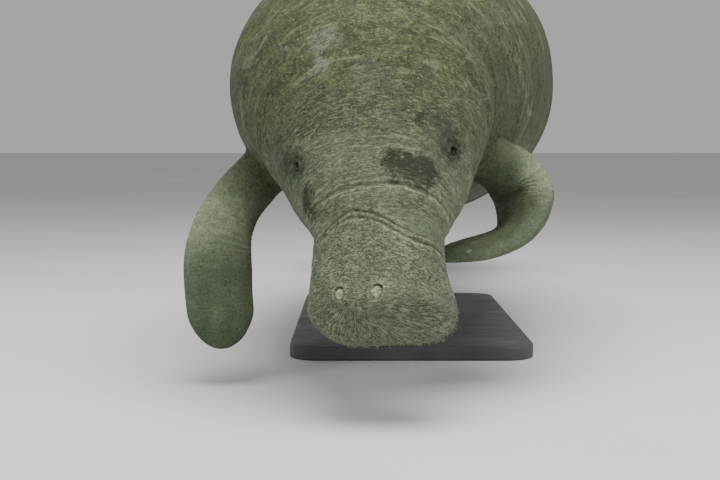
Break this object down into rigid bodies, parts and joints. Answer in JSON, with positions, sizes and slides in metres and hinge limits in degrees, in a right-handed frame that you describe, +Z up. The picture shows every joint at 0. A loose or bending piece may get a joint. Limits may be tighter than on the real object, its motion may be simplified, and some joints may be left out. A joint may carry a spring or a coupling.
{
  "type": "manatee",
  "caption": "Life-size manatee that swims level with its head bent down and one flipper folded under its chin, held on a plain display stand.",
  "frame": {"origin": "middle of the underside of the stand's base, where it rests on the floor", "axes": "+Z up; -Y towards the manatee's head and +Y along the body to its tail; +X to the manatee's left"},
  "size_m": [0.8642, 2.8505, 0.8966],
  "materials": {
    "skin": "thick wrinkled grey-brown hide with a mottled green-brown film of algae",
    "eye": "wet, very dark brown",
    "nail": "dull horn",
    "stand": "satin charcoal paint"
  },
  "bodies": {
    "root": {"snout": "skin", "lower_jaw": "skin", "head": "skin", "eye_left": "eye", "eye_right": "eye", "neck": "skin", "chest": "skin", "belly": "skin", "loin": "skin", "tail_stock": "skin", "tail_paddle": "skin", "flipper_left_arm": "skin", "nail_left_1": "nail", "nail_left_2": "nail", "nail_left_3": "nail", "flipper_left_blade": "skin", "flipper_right_arm": "skin", "nail_right_1": "nail", "nail_right_2": "nail", "nail_right_3": "nail", "flipper_right_blade": "skin", "stand_base": "stand", "stand_rod_front": "stand", "stand_collar_front": "stand", "stand_rod_rear": "stand", "stand_collar_rear": "stand"}
  },
  "joints": []
}
